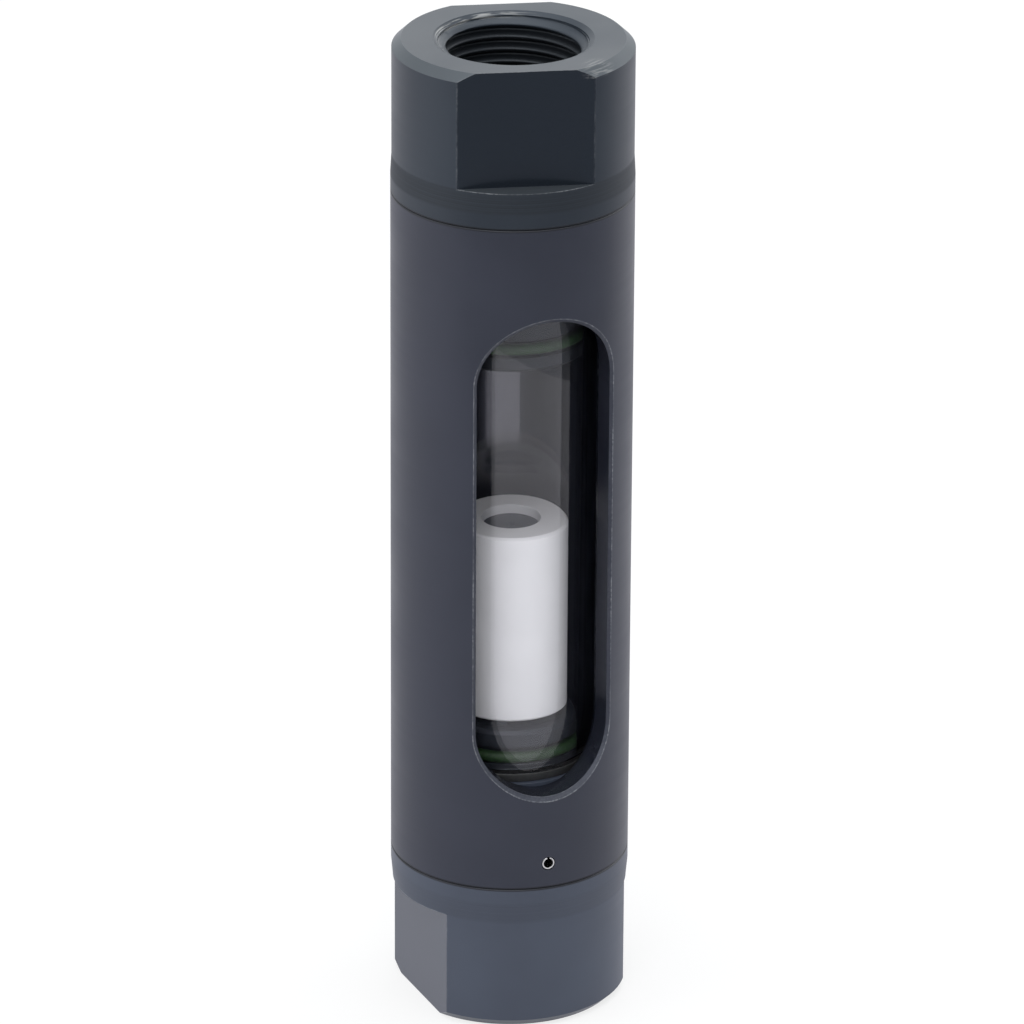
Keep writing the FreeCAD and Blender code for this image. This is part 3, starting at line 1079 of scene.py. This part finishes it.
# --- Studio (metres, watts) ---
CAMERA_AZIMUTH = math.radians(-19.17)
WHITE = (1.0, 1.0, 1.0)
FLOOR_GLOW = (0.93, 0.925, 1.0)  # the white floor and sky as gloss and glass show them
SKY_GLOW = (0.92, 0.97, 1.0)
FLOOR_SEEN = 0.75  # share of plain white that the camera sees on the floor, the rest is lit
FLOOR_REFLECTED = 0.85
FLOOR_GREY = (0.86, 0.86, 0.86)
FLOOR_HALF = 6.0
SKY_STRENGTH = (0.55, 1.0)  # as light on the object, and as it is seen
CARD_GREY = (0.30, 0.305, 0.33)
CARD_NEAR = (0.27, 0.24)  # from the axis to its near edge, at its left and right ends
CARD_FAR = 1.6
CARD_LEFT = math.radians(-45)
CARD_RIGHT = math.radians(105)
CARD_STEPS = 24
CARD_LIFT = 0.0005
LAMP_AIM = Vector((0, 0, 0.07))
LAMPS = (
    ("overhead", (0.0, 0.0, 1.0), (1.0, 1.0), 6.0),
    ("front", (-0.45, -1.0, 1.05), (0.9, 0.9), 6.6),
    ("left", (-1.0, 0.1, 0.4), (0.8, 0.8), 3.5),
    ("right", (1.0, 0.1, 0.4), (0.8, 0.8), 3.3),
    ("back", (0.5, 1.25, 0.7), (1.4, 0.9), 3.6),
)


def stage_mesh(name, corners, material):
    """A flat sheet of the set, which is no part of the object."""
    mesh = bpy.data.meshes.new(name)
    mesh.from_pydata(corners, [], [tuple(range(len(corners)))])
    mesh.materials.append(material)
    sheet = bpy.data.objects.new(name, mesh)
    bpy.context.scene.collection.objects.link(sheet)
    return sheet


def studio_floor():
    """White floor that keeps the object's shadow and shows white behind it."""
    n = new_material("studio_floor")
    path = n.add("ShaderNodeLightPath").outputs
    seen = n.product(path["Is Camera Ray"], FLOOR_SEEN)
    for ray in ("Is Glossy Ray", "Is Transmission Ray"):
        seen = n.math("MULTIPLY_ADD", path[ray], FLOOR_REFLECTED, seen, clamp=True)
    lit = n.coloured("ShaderNodeBsdfDiffuse", FLOOR_GREY)
    glow = n.mixed(path["Is Camera Ray"], FLOOR_GLOW, WHITE)
    material = n.finish(n.blend(seen, lit, n.coloured("ShaderNodeEmission", glow)))
    half = FLOOR_HALF
    corners = [(-half, -half, 0), (half, -half, 0), (half, half, 0), (-half, half, 0)]
    stage_mesh("floor", corners, material)


def reflection_card():
    """Grey card on the floor in front, seen by gloss alone, which shapes the object's shading."""
    n = new_material("reflection_card")
    material = n.finish(n.coloured("ShaderNodeBsdfDiffuse", CARD_GREY))
    shares = [step / CARD_STEPS for step in range(CARD_STEPS + 1)]
    near_edge = [(share, CARD_NEAR[0] + share * (CARD_NEAR[1] - CARD_NEAR[0])) for share in shares]
    far_edge = [(share, CARD_FAR) for share in reversed(shares)]
    corners = []
    for share, reach in near_edge + far_edge:
        angle = CAMERA_AZIMUTH + CARD_LEFT + share * (CARD_RIGHT - CARD_LEFT)
        corners.append((reach * math.sin(angle), -reach * math.cos(angle), CARD_LIFT))
    card = stage_mesh("reflection_card", corners, material)
    card.visible_camera = False
    card.visible_diffuse = False
    card.visible_transmission = False
    card.visible_shadow = False


def studio_world():
    """Sky that is white where it is seen, and dimmer as light on the object."""
    world = bpy.data.worlds.new("studio")
    bpy.context.scene.world = world
    n = Nodes(world, "ShaderNodeOutputWorld")
    path = n.add("ShaderNodeLightPath").outputs
    seen = n.math("ADD", path["Is Camera Ray"], path["Is Glossy Ray"])
    seen = n.math("ADD", seen, path["Is Transmission Ray"], clamp=True)
    sky = n.add("ShaderNodeBackground")
    n.link(n.mixed(path["Is Camera Ray"], SKY_GLOW, WHITE), sky.inputs["Color"])
    n.link(n.spread(seen, 0.0, 1.0, *SKY_STRENGTH), sky.inputs["Strength"])
    n.finish(sky.outputs[0])


def soft_box(name, place, size, power):
    """Rectangular lamp aimed at the object's middle."""
    data = bpy.data.lights.new(name, "AREA")
    data.shape = "RECTANGLE"
    data.size, data.size_y = size
    data.energy = power
    lamp = bpy.data.objects.new(name, data)
    lamp.location = place
    lamp.rotation_euler = (LAMP_AIM - Vector(place)).to_track_quat("-Z", "Y").to_euler()
    lamp.visible_camera = False
    lamp.visible_transmission = False
    bpy.context.scene.collection.objects.link(lamp)


studio_floor()
reflection_card()
studio_world()
for lamp_settings in LAMPS:
    soft_box(*lamp_settings)

# --- Camera (metres) ---
CAMERA_DISTANCE = 1.02927  # level distance to the axis
CAMERA_HEIGHT = 0.51408
AIM_HEIGHT = 0.07297
AIM_SIDE = 0.00013
CAMERA_ROLL = math.radians(0.309)
LENS = 279.05  # mm
SENSOR_WIDTH = 36.0  # mm
CLIP = (0.05, 50.0)


def studio_camera():
    data = bpy.data.cameras.new("camera")
    data.lens = LENS
    data.sensor_width = SENSOR_WIDTH
    data.clip_start, data.clip_end = CLIP
    camera = bpy.data.objects.new("camera", data)
    level = Vector((math.sin(CAMERA_AZIMUTH), -math.cos(CAMERA_AZIMUTH), 0))
    right = Vector((math.cos(CAMERA_AZIMUTH), math.sin(CAMERA_AZIMUTH), 0))
    eye = CAMERA_DISTANCE * level + Vector((0, 0, CAMERA_HEIGHT))
    aim = AIM_SIDE * right + Vector((0, 0, AIM_HEIGHT))
    facing = (aim - eye).to_track_quat("-Z", "Y").to_matrix().to_4x4()
    camera.matrix_world = Matrix.Translation(eye) @ facing @ Matrix.Rotation(CAMERA_ROLL, 4, "Z")
    bpy.context.scene.collection.objects.link(camera)
    bpy.context.scene.camera = camera


studio_camera()
bpy.context.scene.view_settings.view_transform = "Standard"
